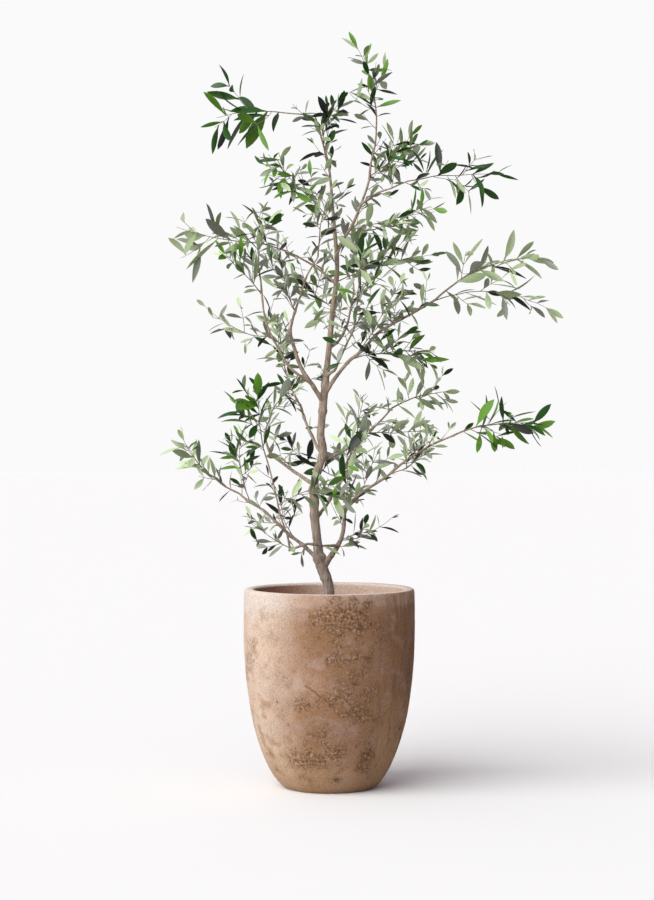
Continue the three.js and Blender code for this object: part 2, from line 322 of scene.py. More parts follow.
def makePot():
    chain = [(x * mm, 0, z * mm) for x, z in potOutline()]
    piece = newPiece("pot_body", chain, [], [], edges=[(i, i + 1) for i in range(len(chain) - 1)])
    makeActive(piece)
    bpy.ops.object.mode_set(mode="EDIT")
    bpy.ops.mesh.select_all(action="SELECT")
    bpy.ops.mesh.spin(steps=pot["steps"], angle=math.tau, center=(0, 0, 0), axis=(0, 0, 1))
    bpy.ops.mesh.select_all(action="SELECT")
    bpy.ops.mesh.remove_doubles(threshold=0.01 * mm)
    bpy.ops.mesh.normals_make_consistent(inside=False)
    bpy.ops.object.mode_set(mode="OBJECT")
    mesh = piece.data
    masks = {"wear": [], "stain": [], "crumbs": [], "inner": []}
    moved = []
    for vertex in mesh.vertices:
        place = vertex.co.copy()
        outside = math.hypot(place.x, place.y) > (outerRadius(place.z / mm) - pot["skin"]) * mm
        worn, stained = wearAt(place) if outside else (0.15, 0)
        crack = crackAt(place) if outside else 0
        # where the skin has crumbled, single grains are lost and others stand out
        crumb = fbm(place + Vector((0, 0, 0.7)), pot["crumb"], 2)
        pit = clamp((crumb - 0.08) * 4) * worn
        flake = clamp((-crumb - 0.12) * 4) * worn
        masks["wear"].append(worn)
        masks["stain"].append(stained)
        # the crumbs mask paints shade into the pits and the crack, and light onto the raised flakes
        masks["crumbs"].append(0.5 + 0.5 * (flake - pit) - crack * 0.4)
        # the lip counts as half inside
        masks["inner"].append(0 if outside else 0.5 if place.z > potTop - 4 * mm else 1)
        wander = fbm(place, 120, 2) * pot["unevenness"] + fbm(place, 12, 3) * pot["ripple"]
        push = wander - pit * pot["pitDepth"] + flake * pot["flakeHeight"] * worn - crack * pot["crackDepth"]
        lift = 0 if place.z < 1.5 * mm else push * mm     # the foot stays flat
        moved.append(place + vertex.normal * lift)
    for vertex, place in zip(mesh.vertices, moved):
        vertex.co = place
    for name, amounts in masks.items():
        mesh.attributes.new(name, "FLOAT", "POINT").data.foreach_set("value", amounts)
    bpy.ops.object.shade_smooth()
    mesh.materials.append(terracotta())
    join(piece, "terracotta", "pot")
    print("pot", len(mesh.polygons))


def terracotta():
    # low-fired clay under an old limewash: chalky beige, rubbed through to warm brown, sandy, with no gloss;
    # its colour also holds painted light on the lit left, and painted shade on the right, on the inside's
    # left wall and in its pits
    material, tree, shader = newMaterial("agedTerracotta", Roughness=0.95, IOR=1.45)
    place = addNode(tree, "ShaderNodeTexCoord").outputs["Object"]
    spot = addNode(tree, "ShaderNodeSeparateXYZ", links={0: place})
    # side is the place across the pot; the layers below use it to paint light on the left and shade on the
    # right
    masks = {"side": spot.outputs["X"], "height": spot.outputs["Z"]}
    for name in ("wear", "crumbs", "inner", "stain"):
        masks[name] = addNode(tree, "ShaderNodeAttribute", {"attribute_name": name}).outputs["Fac"]
    along = addNode(tree, "ShaderNodeMapping", {"Scale": (1.0, 1.0, 0.13)}, {"Vector": place}).outputs[0]
    # the size of each pattern's grains in millimetres, its detail and its roughness
    for name, (size, detail, rough) in {
        "clouds": (60, 4.0, 0.6), "smears": (22, 4.0, 0.65), "strokes": (5, 3.0, 0.6),
        "flecks": (2.4, 3.0, 0.7), "sand": (1.5, 3.0, 0.8),
    }.items():
        masks[name] = addNode(tree, "ShaderNodeTexNoise", {
            "Scale": 0.5 / (size * mm), "Detail": detail, "Roughness": rough}, {
            "Vector": along if name == "strokes" else place}).outputs["Fac"]
    colour = addNode(tree, "ShaderNodeValToRGB", {"stops": {0.35: "#906b4e", 0.65: "#a07b62"}}, {
        "Fac": masks["clouds"]}).outputs["Color"]
    # each layer: its mask, where it starts, where it is full, its most, its colour,
    # and a second mask that it stays in, with that one's start and full
    for mask, start, full, most, tint, within in [
        ("side", -0.03, -0.155, 1.0, "#cfb8a6", None),  # painted light: the left side, towards the lamp, paler and chalkier
        # painted light: pale clouds only on the lit left side
        ("clouds", 0.5, 0.66, 0.45, "#d4c1b5", ("side", 0.02, -0.12)),
        ("smears", 0.48, 0.68, 0.5, "#b29a90", None),  # pinkish haze of lime
        ("smears", 0.5, 0.34, 0.6, "#98724f", None),  # bare, browner clay between
        ("height", 0.13, 0.03, 0.5, "#c2a07c", None),  # ochre where it draws up damp
        ("height", 0.386, 0.4, 0.45, "#cdb5a6", None),  # a paler band under the rim
        # painted light: paler high on the left, towards the lamp
        ("height", 0.35, 0.4, 0.6, "#d4cdca", ("side", -0.03, -0.15)),
        ("height", 0.26, 0.1, 0.55, "#c9a681", ("side", 0.06, 0.14)),
        ("strokes", 0.5, 0.66, 0.5, "#7b5535", ("side", 0.04, 0.14)),  # brush strokes on the right side
        ("stain", 0.1, 0.85, 0.55, "#84644a", ("side", -0.24, 0.04)),  # rubbed ground round the spots, faded out on the lit left, so that it also paints shade on the right
        ("wear", 0.2, 0.9, 0.35, "#8a6446", None),
        ("flecks", 0.54, 0.6, 0.7, "#6f5039", ("stain", 0.2, 0.8)),  # small holes, painted dark as their shade
        ("flecks", 0.44, 0.37, 0.35, "#d0b49a", ("stain", 0.2, 0.8)),  # and pale grains
        # painted shade in the pits and the crack, then painted light on the raised flakes
        ("crumbs", 0.42, 0.12, 0.8, "#6a4932", None),
        ("crumbs", 0.6, 0.95, 0.4, "#cdb095", None),
        ("inner", 0.2, 0.45, 0.9, "#eee0d9", None),  # the lip's top, painted pale: painted light where it faces up
        ("inner", 0.6, 0.95, 0.95, "#e2c7b9", None),  # raw pink clay inside
        ("inner", 0.6, 0.95, 0.75, "#a5694e", ("side", 0.04, -0.13)),  # painted shade: the inside wall on the left, turned from the lamp, darker and redder
    ]:
        amount = addNode(tree, "ShaderNodeMapRange", {
            "interpolation_type": "SMOOTHSTEP", "From Min": start, "From Max": full, "To Max": most}, {
            "Value": masks[mask]}).outputs[0]
        if within:
            inside = addNode(tree, "ShaderNodeMapRange", {
                "interpolation_type": "SMOOTHSTEP", "From Min": within[1], "From Max": within[2]}, {
                "Value": masks[within[0]]}).outputs[0]
            both = addNode(tree, "ShaderNodeMath", {"operation": "MULTIPLY"}, {0: amount, 1: inside})
            amount = both.outputs[0]
        if mask == "flecks" and full > start:
            hollows = amount     # the dark flecks are sunk as well
        colour = addNode(tree, "ShaderNodeMix", {"data_type": "RGBA", 7: toLinear(tint)}, {
            0: amount, 6: colour}).outputs[2]
    sandy = addNode(tree, "ShaderNodeValToRGB", {"stops": {0.34: "#d1c8bd", 0.62: "#ffffff"}}, {
        "Fac": masks["sand"]}).outputs["Color"]
    colour = addNode(tree, "ShaderNodeMix", {"data_type": "RGBA", "blend_type": "MULTIPLY", 0: 1.0}, {
        6: colour, 7: sandy}).outputs[2]
    tree.links.new(colour, shader.inputs["Base Color"])
    grit = addNode(tree, "ShaderNodeBump", {"Strength": 0.5, "Distance": 0.0005}, {"Height": masks["sand"]})
    holes = addNode(tree, "ShaderNodeBump", {"Strength": 0.8, "Distance": 0.0012, "invert": True}, {
        "Height": hollows, "Normal": grit.outputs[0]})
    tree.links.new(holes.outputs[0], shader.inputs["Normal"])
    return material


makePot()


# the potting mix

mix = {
    "rings": 46,
    "steps": 150,
    "sunk": 2,             # how far under the level its surface begins at the wall
    "skirt": 28,           # how far it goes down beside the wall
    "gap": 0.5,
    "lump": 11,            # size of the loose surface's lumps
    "roughness": 2.4,      # and their height
    "dish": 3,             # how much lower it lies at the wall
    "seed": 11,
    "chips": 420,
    "chipSize": (5.0, 16.0),
}


def makeSoil():
    rng = random.Random(mix["seed"])
    reach = outerRadius(soilTop / mm) * mm - pot["wall"] * mm
    bpy.ops.mesh.primitive_circle_add(
        vertices=mix["steps"], radius=reach - mix["gap"] * mm, fill_type="NOTHING",
        location=(0, 0, soilTop - (mix["skirt"] + mix["sunk"]) * mm))
    piece = bpy.context.object
    piece.name = "potting_mix"
    bpy.ops.object.transform_apply(location=True)
    bpy.ops.object.mode_set(mode="EDIT")
    bpy.ops.mesh.select_all(action="SELECT")
    bpy.ops.mesh.extrude_edges_move(TRANSFORM_OT_translate={"value": (0, 0, mix["skirt"] * mm)})
    for i in range(1, mix["rings"]):
        share = 1 - 1 / (mix["rings"] - i + 1)
        bpy.ops.mesh.extrude_edges_move()
        bpy.ops.transform.resize(value=(share, share, 1), center_override=(0, 0, 0))
    bpy.ops.mesh.merge(type="CENTER")
    bpy.ops.mesh.select_all(action="SELECT")
    bpy.ops.mesh.normals_make_consistent(inside=False)
    bpy.ops.object.mode_set(mode="OBJECT")
    for vertex in piece.data.vertices:
        place = vertex.co
        if place.z > soilTop - (mix["sunk"] + 3) * mm:
            across = math.hypot(place.x, place.y) / reach
            lumps = fbm(place, mix["lump"], 4) * mix["roughness"] + fbm(place, 60, 2) * 2
            place.z = soilTop + (lumps - 3 - mix["dish"] * across ** 2) * mm
    bpy.ops.object.shade_smooth()
    piece.data.materials.append(pottingMix("moistPottingMix", "#2a1d15", "#5a4433"))
    bpy.ops.object.select_all(action="DESELECT")
    # bark chips and clay grit lie scattered on the surface
    chip = chipShape()
    vertices, faces, slots = [], [], []
    for number in range(mix["chips"]):
        away = math.sqrt(rng.uniform(0.01, 0.93)) * reach
        turn = rng.uniform(0, math.tau)
        spot = Vector((away * math.cos(turn), away * math.sin(turn), 0))
        lumps = fbm(spot + Vector((0, 0, soilTop)), mix["lump"], 4) * mix["roughness"]
        spot.z = soilTop + (lumps - 1.5) * mm
        size = rng.uniform(*mix["chipSize"]) * mm
        turned = Matrix.Rotation(rng.uniform(0, math.tau), 4, "Z")
        tipped = Matrix.Rotation(rng.uniform(-0.5, 0.5), 4, "X")
        scale = (size, size * rng.uniform(0.4, 0.8), size * rng.uniform(0.25, 0.6), 1)
        shape = turned @ tipped @ Matrix.Diagonal(scale)
        first = len(vertices)
        vertices += [shape @ point + spot for point in chip[0]]
        faces += [[first + i for i in face] for face in chip[1]]
        slots += [0 if number % 5 else 1] * len(chip[1])     # one in five is clay grit
    bark = pottingMix("compostedBark", "#3f2a1c", "#7d5a40")
    clay = pottingMix("expandedClay", "#7a5a45", "#a98a70")
    chips = newPiece("bark_chips", vertices, faces, [bark, clay], slots)
    for part in (piece, chips):
        join(part, "potting_mix", "soil")
    print("soil", len(piece.data.polygons), len(chips.data.polygons))


def chipShape():
    # a small lump with its corners pushed in and out
    bpy.ops.mesh.primitive_ico_sphere_add(subdivisions=1, radius=0.5)
    chip = bpy.context.object
    for number, vertex in enumerate(chip.data.vertices):
        vertex.co *= 0.75 + 0.5 * ((number * 7) % 5) / 4
    shape = ([v.co.copy() for v in chip.data.vertices], [list(p.vertices) for p in chip.data.polygons])
    bpy.data.objects.remove(chip)
    return shape


def pottingMix(name, dark, light):
    # damp peat and bark fines: near black with brown crumbs about 2 mm across
    material, tree, shader = newMaterial(name, Roughness=0.95)
    place = addNode(tree, "ShaderNodeTexCoord").outputs["Object"]
    crumbs = addNode(tree, "ShaderNodeTexNoise", {"Scale": 420.0, "Detail": 4.0, "Roughness": 0.7}, {
        "Vector": place}).outputs["Fac"]
    colour = addNode(tree, "ShaderNodeValToRGB", {"stops": {0.35: dark, 0.7: light}}, {"Fac": crumbs})
    tree.links.new(colour.outputs["Color"], shader.inputs["Base Color"])
    bump = addNode(tree, "ShaderNodeBump", {"Strength": 0.6, "Distance": 0.001}, {"Height": crumbs})
    tree.links.new(bump.outputs[0], shader.inputs["Normal"])
    return material


makeSoil()


# where the limbs run

# the trunk's bends: height over its foot, lean across and away, radius, all in millimetres
trunkBends = [
    (0, 1, 0, 15.5), (20, 0, 0, 11), (52, -3, 0, 11.5), (92, -18, -1, 12.2),
    (135, -25, -2, 9.8), (262, -32, -2, 8.8), (330, -13, 2, 8.5), (365, -18, 4, 8.3),
    (450, -11, 6, 8.4), (490, -7, 7, 6.6), (610, 5, 8, 5.6), (722, 16, 6, 4.9),
    (820, 9, 2, 3.6), (930, -1, -2, 2.5), (1010, -21, -3, 2), (1042, -31, -3, 1.6),
]

# each bough: the limb it leaves, where on it, its reach, its bow, and its radii at foot and tip
boughPlan = {
    "low_right": ("trunk", 86, (50, -45, 132), (14, 0, -6), 6.4, 3.8),
    "low_right_arm": ("low_right", 0.97, (225, -46, 152), (-10, -10, 4), 3.4, 2.1),
    "crossing": ("low_right", 0.4, (-101, -67, -3), (5, -11, 8), 2.9, 2.4),
    "crossing_up": ("crossing", 0.97, (-44, -11, 172), (1, -2, -12), 2.4, 1.7),
    "low_left": ("trunk", 98, (-178, 24, 146), (-8, 5, 14), 4.4, 2.2),
    "low_back": ("trunk", 182, (84, 215, 158), (0, 15, -14), 4, 2),
    "mid_left": ("trunk", 262, (-112, 100, 100), (-10, 5, -9), 4.2, 2.2),
    "mid_back": ("trunk", 322, (-80, 225, 178), (-5, 18, 3), 3.8, 2),
    "mid_right": ("trunk", 312, (150, 65, 112), (10, 5, -10), 3.2, 1.9),
    "upper_left": ("trunk", 437, (-72, -40, 150), (-12, -5, -5), 5, 3.6),
    "outer_left": ("upper_left", 0.28, (-108, -4, 213), (-14, -20, -36), 3.4, 2),
    "inner_left": ("upper_left", 0.97, (58, -62, 150), (-7, -12, 0), 3, 1.8),
    "upper_right": ("trunk", 450, (236, -28, 197), (-20, -10, 16), 4.6, 2.4),
    "front": ("trunk", 492, (60, -205, 112), (8, -5, -8), 3.6, 1.8),
    "back": ("trunk", 552, (54, 212, 168), (18, 12, -20), 3.6, 1.8),
    "far_left": ("trunk", 687, (-165, 32, 90), (6, 2, 16), 2.7, 1.6),
    "right_leader": ("trunk", 752, (85, 14, 272), (18, 2, -10), 3.7, 1.8),
    "right_arm_top": ("right_leader", 0.4, (98, -28, 44), (0, -6, 6), 2.3, 1.5),
    "top_left": ("trunk", 1040, (-62, 6, 9), (0, 1, -1), 1.6, 1.4),
}

# each leafy shoot: the limb it leaves, where on it, its reach, its bow, the half sizes of its mass, then
# the tone of its leaves, how many twigs it throws and the length of its longest leaves
shootPlan = {
    "arm_end": ("low_right_arm", 1, (212, -10, 25), (0, -5, 16), (34, 72), "fresh", 6, 70),
    "arm_middle": ("low_right_arm", 0.45, (105, -45, 85), (12, 0, -10), (34, 52), "silver", 5, 52),
    "low_right": ("low_right", 0.92, (75, 20, 160), (12, 0, -12), (38, 50), "grey", 7, 44),
    "low_spur": ("low_right", 0.5, (125, -35, 56), (0, 0, -14), (28, 42), "deep", 1, 38),
    "low_front": ("low_right", 0.8, (0, -215, 240), (5, -30, -25), (50, 50), "mixed", 4, 52),
    "mid_right": ("mid_right", 1, (155, 65, 42), (0, 0, 12), (32, 48), "silver", 7, 50),
    "mid_right_low": ("mid_right", 0.6, (170, 70, 5), (0, 8, 0), (30, 40), "silver", 5, 48),
    "low_left": ("low_left", 1, (-140, 20, 140), (-14, 0, -14), (34, 60), "silver", 6, 50),
    "low_left_up": ("low_left", 0.8, (-30, 45, 170), (-10, 0, 0), (36, 46), "mixed", 6, 50),
    "low_inner": ("low_left", 0.28, (-35, 55, 105), (-8, 0, 0), (32, 34), "deep", 4, 38),
    "crossing": ("crossing", 0.92, (-104, -30, 78), (-4, 0, -8), (30, 40), "grey", 4, 42),
    "crossing_up": ("crossing_up", 1, (-22, 18, 215), (-12, -5, 0), (44, 56), "fresh", 7, 56),
    "crossing_in": ("crossing_up", 0.62, (165, -40, 44), (0, -12, 16), (30, 38), "pale", 6, 56),
    "mid_left": ("mid_left", 1, (80, 65, 135), (-14, 0, 4), (46, 54), "mixed", 6, 50),
    "low_back": ("low_back", 1, (24, 115, 125), (0, 8, -8), (54, 50), "grey", 6, 48),
    "low_back_side": ("low_back", 0.62, (-140, 105, 85), (0, 10, -10), (46, 46), "deep", 5, 48),
    "mid_back": ("mid_back", 1, (-20, 105, 150), (-5, 8, -8), (56, 52), "sage", 7, 50),
    "outer_left_low": ("outer_left", 0.62, (-160, 0, 72), (0, 0, -20), (26, 38), "silver", 4, 44),
    "outer_left": ("outer_left", 1, (2, 40, 182), (-10, 0, 0), (42, 50), "sage", 6, 52),
    "outer_left_side": ("outer_left", 0.92, (-112, -45, 112), (0, 0, 6), (28, 42), "mixed", 3, 66),
    "inner_left": ("inner_left", 1, (34, -50, 165), (-8, 0, 0), (46, 50), "grey", 7, 44),
    "inner_left_low": ("inner_left", 0.3, (-40, -110, 150), (-5, -8, -5), (50, 52), "grey", 7, 42),
    "fork_end": ("upper_right", 1, (268, -48, 92), (-4, 0, 36), (32, 44), "silver", 4, 66),
    "low_end": ("upper_right", 0.97, (286, 50, -12), (0, 8, 34), (30, 46), "silver", 4, 66),
    "upper_right": ("upper_right", 0.36, (105, -55, 172), (0, 0, -8), (46, 54), "grey", 9, 46),
    "upper_right_under": ("upper_right", 0.3, (208, 30, 20), (0, 10, 10), (36, 54), "mixed", 11, 58),
    "front": ("front", 1, (15, -120, 145), (0, -5, -10), (60, 56), "mixed", 7, 54),
    "back": ("back", 1, (4, 118, 150), (5, 8, -8), (60, 56), "grey", 7, 50),
    "back_side": ("back", 0.55, (-140, 145, 130), (-5, 5, -10), (52, 50), "sage", 7, 48),
    "far_left": ("far_left", 1, (-215, 20, 42), (0, 0, -6), (30, 56), "silver", 4, 72),
    "right_back": ("trunk", 690, (230, 150, 75), (0, 10, 12), (50, 52), "mixed", 11, 54),
    "right_leader": ("right_leader", 1, (-50, 6, 195), (14, 0, 0), (42, 48), "mixed", 7, 56),
    "leader_side": ("right_leader", 0.62, (105, 45, 108), (6, 0, -8), (42, 48), "mixed", 12, 52),
    "arm_top": ("right_arm_top", 1, (226, -15, 18), (0, 0, 6), (30, 56), "deep", 6, 66),
    "arm_top_low": ("right_leader", 0.2, (210, -90, 45), (0, -8, 0), (40, 46), "pale", 9, 54),
    "trunk_top": ("trunk", 930, (30, -40, 165), (-26, -5, 0), (40, 48), "deep", 8, 50),
    "top_left": ("top_left", 1, (-185, 8, -12), (0, 0, 10), (32, 84), "fresh", 3, 78),
    "top_front": ("trunk", 815, (-150, -165, 140), (-8, -12, 6), (48, 50), "mixed", 12, 50),
}


class Line:
    # a limb's or a shoot's line, given as many points that lie close together
    def __init__(self, points):
        self.points = [Vector(p) for p in points]
        self.lengths = [0.0]
        for a, b in zip(self.points, self.points[1:]):
            self.lengths.append(self.lengths[-1] + (b - a).length)
        self.length = self.lengths[-1]

    def at(self, share):
        # by the curve's own share, as the CAD solids are laid out
        spot = min(max(share, 0), 1) * (len(self.points) - 1)
        low = min(int(spot), len(self.points) - 2)
        return self.points[low].lerp(self.points[low + 1], spot - low)

    def heading(self, share):
        return (self.at(share + 0.02) - self.at(share - 0.02)).normalized()


def trunkLine():
    # a smooth line through the trunk's bends
    points = [Vector((across, away, 0)) * mm + Vector((0, 0, trunkFoot + over * mm))
              for over, across, away, _ in trunkBends]
    ends = [2 * points[0] - points[1]] + points + [2 * points[-1] - points[-2]]
    made = []
    for i in range(1, len(ends) - 2):
        a, b, c, d = ends[i - 1:i + 3]
        before, here, after = ((q - p).length ** 0.5 for p, q in ((a, b), (b, c), (c, d)))
        leave = ((b - a) / before - (c - a) / (before + here) + (c - b) / here) * here
        arrive = ((c - b) / here - (d - b) / (here + after) + (d - c) / after) * here
        for step in range(10):
            s = step / 10
            made.append(b + leave * s + (3 * (c - b) - 2 * leave - arrive) * s ** 2
                        + (2 * (b - c) + leave + arrive) * s ** 3)
    return Line(made + [points[-1]])


def curvedLine(start, reach, bow, steps=24):
    # from start to start + reach, pushed aside by bow at its middle
    made = []
    for i in range(steps + 1):
        s = i / steps
        made.append(start + reach * s + bow * (4 * s * (1 - s)))
    return Line(made)


lines = {"trunk": trunkLine()}


def trunkShare(over):
    # where on the trunk's line a height over its foot is reached
    wanted = trunkFoot + over * mm
    points = lines["trunk"].points
    for i in range(len(points) - 1):
        if points[i + 1].z >= wanted:
            part = (wanted - points[i].z) / (points[i + 1].z - points[i].z)
            return (i + part) / (len(points) - 1)
    return 1.0


def footOf(parent, place):
    return lines["trunk"].at(trunkShare(place)) if parent == "trunk" else lines[parent].at(place)


kinks = {
    "spacing": 42,         # millimetres between a bough's old nodes
    "most": 4.5,           # how far it is pushed aside at one
    "seed": 300,
}


def kinked(line, seed):
    # a bough turns a little at each old node, and its foot stays where it is
    rng = random.Random(seed)
    nodes = max(2, round(line.length / (kinks["spacing"] * mm)))
    most = kinks["most"]
    turns = [Vector([rng.uniform(-most, most) for _ in range(3)]) * mm * (i > 0) for i in range(nodes + 1)]
    made = []
    for i in range(len(line.points)):
        spot = i / (len(line.points) - 1) * nodes
        low = min(int(spot), nodes - 1)
        made.append(line.points[i] + turns[low].lerp(turns[low + 1], spot - low))
    return Line(made)


for number, (name, (parent, place, reach, bow, _, _)) in enumerate(boughPlan.items()):
    smooth = curvedLine(footOf(parent, place), Vector(reach) * mm, Vector(bow) * mm)
    lines[name] = kinked(smooth, kinks["seed"] + number)


def trunkRadius(share):
    over = (lines["trunk"].at(share).z - trunkFoot) / mm
    for (low, _, _, wide), (high, _, _, narrow) in zip(trunkBends, trunkBends[1:]):
        if over <= high:
            return wide + (narrow - wide) * max(over - low, 0) / (high - low)
    return trunkBends[-1][3]


# tubes

def tube(points, radii, sides, store):
    # a closed tube through the points, added to the store's vertices and faces
    vertices, faces = store
    first = len(vertices)
    heading = (points[1] - points[0]).normalized()
    side = heading.orthogonal().normalized()
    for i, (point, radius) in enumerate(zip(points, radii)):
        ahead = points[min(i + 1, len(points) - 1)] - points[max(i - 1, 0)]
        ahead.normalize()
        side = (side - ahead * side.dot(ahead)).normalized()
        other = ahead.cross(side)
        for j in range(sides):
            turn = math.tau * j / sides
            vertices.append(point + (side * math.cos(turn) + other * math.sin(turn)) * radius)
    for i in range(len(points) - 1):
        for j in range(sides):
            a, b = first + i * sides + j, first + i * sides + (j + 1) % sides
            faces.append([a, b, b + sides, a + sides])
    faces.append([first + j for j in range(sides)][::-1])
    faces.append([first + (len(points) - 1) * sides + j for j in range(sides)])


# the bark: trunk and boughs

barkLook = {
    "voxel": 1.4,          # millimetres between the remeshed skin's points
    "trunkSteps": 150,
    "trunkSides": 18,
    "boughStep": 5,
    "boughSides": 12,
    "sway": 0.7,           # how far a limb wanders from its line
    "knot": 0.65,          # how much thicker a limb is at a node
    "furrow": 0.055,       # depth of the fine furrows, as a share of the limb's radius
    "furrowSize": 2.6,
    "lenticel": 0.14,
    "lenticelSize": 3.4,
    "flute": 0.15,         # depth of the long hollows down the trunk
    "fluteSize": 11,
    "collar": 0.55,        # how much a bough swells where it joins
}


def limbTube(line, radiusAt, steps, sides, store, seed):
    # a limb's tube, and the points and radii that it was made from
    rng = random.Random(seed)
    shift = Vector((rng.uniform(-9, 9), rng.uniform(-9, 9), rng.uniform(-9, 9)))
    points, radii = [], []
    for i in range(steps + 1):
        share = i / steps
        point = line.at(share)
        sway = noise.noise_vector(point / (45 * mm) + shift) * barkLook["sway"] * mm * min(1, 4 * share)
        knot = max(0, noise.noise(point / (13 * mm) + shift) - 0.15) * barkLook["knot"]
        points.append(point + sway)
        radii.append(radiusAt(share) * (1 + knot) * mm)
    tube(points, radii, sides, store)
    return list(zip(points, radii))


def makeBark():
    store = ([], [])
    steps, sides = barkLook["trunkSteps"], barkLook["trunkSides"]
    spine = limbTube(lines["trunk"], trunkRadius, steps, sides, store, 3)
    for number, (name, (_, _, _, _, foot, tip)) in enumerate(boughPlan.items()):
        line = lines[name]

        def radiusAt(share, foot=foot, tip=tip, line=line):
            swell = barkLook["collar"] * math.exp(-share * line.length / (foot * 1.8 * mm))
            return (foot + (tip - foot) * share ** 0.85) * (1 + swell)
        steps = max(12, round(line.length / (barkLook["boughStep"] * mm)))
        spine += limbTube(line, radiusAt, steps, barkLook["boughSides"], store, 20 + number)
    nearest = kdtree.KDTree(len(spine))
    for number, (point, _) in enumerate(spine):
        nearest.insert(point, number)
    nearest.balance()
    piece = newPiece("bark", *store, [])
    makeActive(piece)
    piece.data.remesh_voxel_size = barkLook["voxel"] * mm
    bpy.ops.object.voxel_remesh()
    applyModifier(piece, "SMOOTH", factor=0.5, iterations=3)
    mesh = piece.data
    moved = []
    for vertex in mesh.vertices:
        place, normal = vertex.co, vertex.normal
        radius = spine[nearest.find(place)[1]][1]
        # fine long furrows, lenticels that lie across, and the trunk's own hollows
        stretched = Vector((place.x, place.y, place.z * 0.22))
        squashed = Vector((place.x, place.y, place.z * 2.6))
        furrow = noise.noise(stretched / (barkLook["furrowSize"] * mm)) * barkLook["furrow"]
        lenticel = max(0, noise.noise(squashed / (barkLook["lenticelSize"] * mm)) - 0.3)
        hollow = noise.noise(stretched / (barkLook["fluteSize"] * mm)) * barkLook["flute"]
        moved.append(place + normal * (furrow + lenticel * barkLook["lenticel"] + hollow) * radius)
    for vertex, place in zip(mesh.vertices, moved):
        vertex.co = place
        # the foot is cut level, just over the soil
        vertex.co.z = max(vertex.co.z, trunkFoot)
    bpy.ops.object.shade_smooth()
    mesh.materials.append(oliveBark())
    join(piece, "bark", "trunk", *["bough_" + name for name in boughPlan])
    print("bark", len(mesh.polygons))


def oliveBark():
    # young olive bark: grey and ridged at the foot, smoother and pinker in the younger wood above
    material, tree, shader = newMaterial("youngOliveBark", Roughness=0.82)
    place = addNode(tree, "ShaderNodeTexCoord").outputs["Object"]
    height = addNode(tree, "ShaderNodeSeparateXYZ", links={0: place}).outputs["Z"]
    stretched = addNode(tree, "ShaderNodeMapping", {"Scale": (1.0, 1.0, 0.2)}, {"Vector": place})
    furrows = addNode(tree, "ShaderNodeTexNoise", {"Scale": 260.0, "Detail": 4.0, "Roughness": 0.7}, {
        "Vector": stretched.outputs[0]}).outputs["Fac"]
    patches = addNode(tree, "ShaderNodeTexNoise", {"Scale": 45.0, "Detail": 3.0}, {
        "Vector": place}).outputs["Fac"]
    young = addNode(tree, "ShaderNodeMapRange", {"From Min": 0.5, "From Max": 0.85}, {
        "Value": height}).outputs[0]
    shades = []
    for fine, broad in (
        ({0.34: "#4b3f35", 0.5: "#85756a", 0.68: "#b3a394"}, {0.3: "#7c6d60", 0.7: "#aa9b8c"}),
        ({0.34: "#5f4e42", 0.5: "#8f7c6d", 0.68: "#b5a593"}, {0.3: "#857362", 0.7: "#ab9c8b"}),
    ):
        ridged = addNode(tree, "ShaderNodeValToRGB", {"stops": fine}, {"Fac": furrows}).outputs["Color"]
        mottled = addNode(tree, "ShaderNodeValToRGB", {"stops": broad}, {"Fac": patches}).outputs["Color"]
        shades.append(addNode(tree, "ShaderNodeMix", {"data_type": "RGBA", 0: 0.3}, {
            6: ridged, 7: mottled}).outputs[2])
    colour = addNode(tree, "ShaderNodeMix", {"data_type": "RGBA"}, {0: young, 6: shades[0], 7: shades[1]})
    tree.links.new(colour.outputs[2], shader.inputs["Base Color"])
    bump = addNode(tree, "ShaderNodeBump", {"Strength": 0.8, "Distance": 0.0009}, {"Height": furrows})
    tree.links.new(bump.outputs[0], shader.inputs["Normal"])
    return material


makeBark()


# the leaf, modelled once

# every measure is a share of the leaf's length, and width is half the blade's
leafShapes = {
    "lance": {"width": 0.098, "widest": 0.5, "blunt": 0.8, "fold": 0.3, "thick": 0.008},
    "oblong": {"width": 0.128, "widest": 0.55, "blunt": 0.65, "fold": 0.22, "thick": 0.010},
    "broad": {"width": 0.16, "widest": 0.54, "blunt": 0.72, "fold": 0.25, "thick": 0.008},
}
petiole = {"length": 0.09, "width": 0.014, "tipWidth": 0.004}
leafRows = 7


def makeLeaf(look):
    # a leaf one unit long, lying along Y with its upper face up, its petiole at the origin
    bpy.ops.mesh.primitive_grid_add(x_subdivisions=2, y_subdivisions=leafRows, size=1)
    leaf = bpy.context.object
    power = math.log(0.5) / math.log(look["widest"])
    for vertex in leaf.data.vertices:
        side, along = vertex.co.x * 2, vertex.co.y + 0.5
        blade = max(along - petiole["length"], 0) / (1 - petiole["length"])
        half = look["width"] * math.sin(math.pi * blade ** power) ** look["blunt"] if 0 < blade < 1 else 0
        half = max(half, petiole["width"] if along < 0.5 else petiole["tipWidth"])
        vertex.co = (side * half, along, abs(side) * half * look["fold"])
    applyModifier(leaf, "SOLIDIFY", thickness=look["thick"], offset=-1,
                  material_offset=1, material_offset_rim=1)
    points = np.array([v.co for v in leaf.data.vertices])
    faces = np.array([list(p.vertices) for p in leaf.data.polygons])
    slots = np.array([p.material_index for p in leaf.data.polygons])
    bpy.data.objects.remove(leaf)
    return points, faces, slots


leaves = {name: makeLeaf(look) for name, look in leafShapes.items()}
print("leaf shapes", {name: len(shape[1]) for name, shape in leaves.items()})


# how a shoot grows

